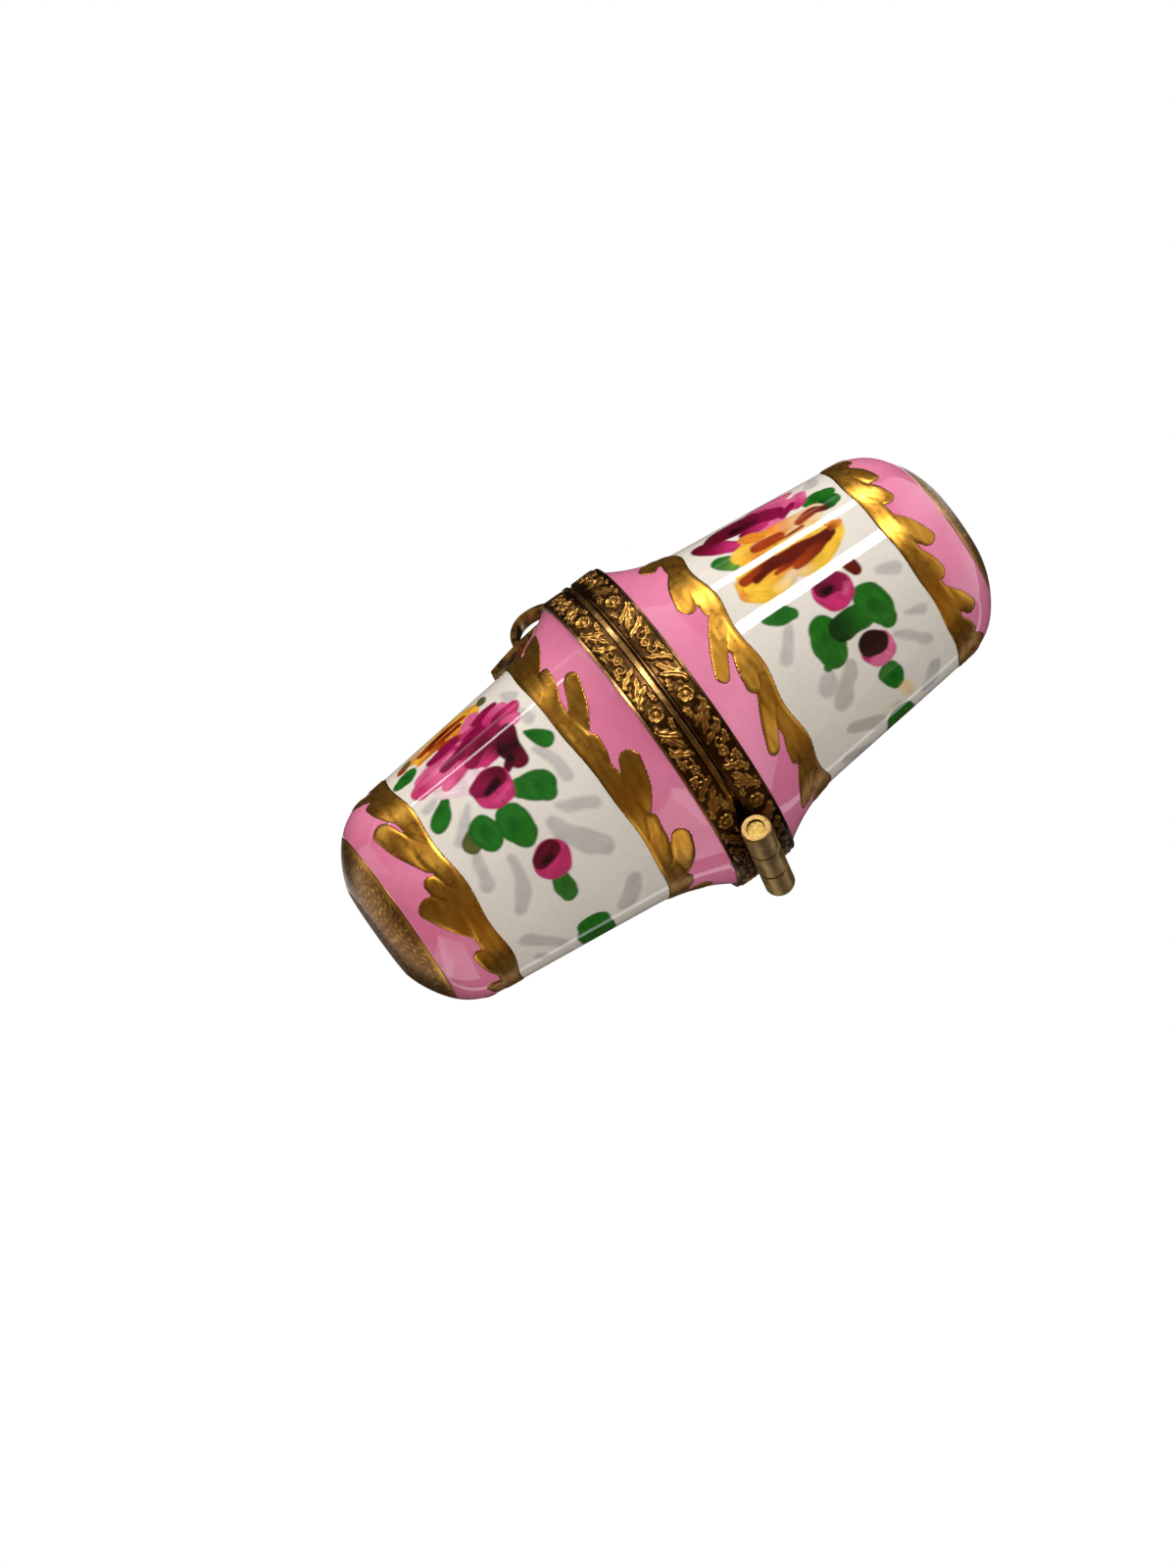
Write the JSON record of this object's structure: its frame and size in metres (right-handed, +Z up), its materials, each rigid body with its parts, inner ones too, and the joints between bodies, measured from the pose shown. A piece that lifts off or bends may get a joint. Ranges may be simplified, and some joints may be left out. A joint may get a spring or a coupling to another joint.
{
  "type": "thimble holder",
  "caption": "Small hinged porcelain case for one sewing thimble: two painted cups joined mouth to mouth by brass mounts with a barrel hinge and a sprung clasp.",
  "frame": {"origin": "centre of the flat foot of the lower cup, which the case stands on", "axes": "+Z up along the case towards the lid's end, -Y towards the clasp at the front, +Y towards the hinge at the back"},
  "size_m": [0.0268, 0.0306, 0.0548],
  "materials": {
    "painted_porcelain": "glossy hand-painted glaze, pink and white with gilding",
    "mount_brass": "aged, dark patina, worn bright on the edges",
    "gallery_brass": "embossed, dark in the recesses, gold on the high spots",
    "hinge_brass": "aged satin",
    "pin_brass": "bright",
    "clasp_brass": "dark patina with worn gold crests"
  },
  "bodies": {
    "base": {"base_cup": "painted_porcelain", "base_mount_ring": "mount_brass", "base_gallery_band": "gallery_brass", "base_knuckle_left": "hinge_brass", "base_knuckle_right": "hinge_brass", "hinge_pin": "pin_brass", "catch_bead": "clasp_brass"},
    "lid": {"lid_cup": "painted_porcelain", "lid_mount_ring": "mount_brass", "lid_gallery_band": "gallery_brass", "lid_knuckle": "hinge_brass", "clasp_root": "clasp_brass"},
    "clasp": {"clasp_tongue": "clasp_brass", "clasp_thumb_loop": "clasp_brass"}
  },
  "joints": [
    {"name": "lid_hinge", "type": "hinge", "parent": "base", "child": "lid", "pos_m": [0, 0.01407, 0.0274], "axis": [-1, 0, 0], "range_deg": [0, 110]},
    {"name": "clasp_flex", "type": "hinge", "parent": "lid", "child": "clasp", "pos_m": [0, -0.01365, 0.02828], "axis": [-1, 0, 0], "range_deg": [0, 8], "stiffness_Nm_per_rad": 0.01}
  ]
}
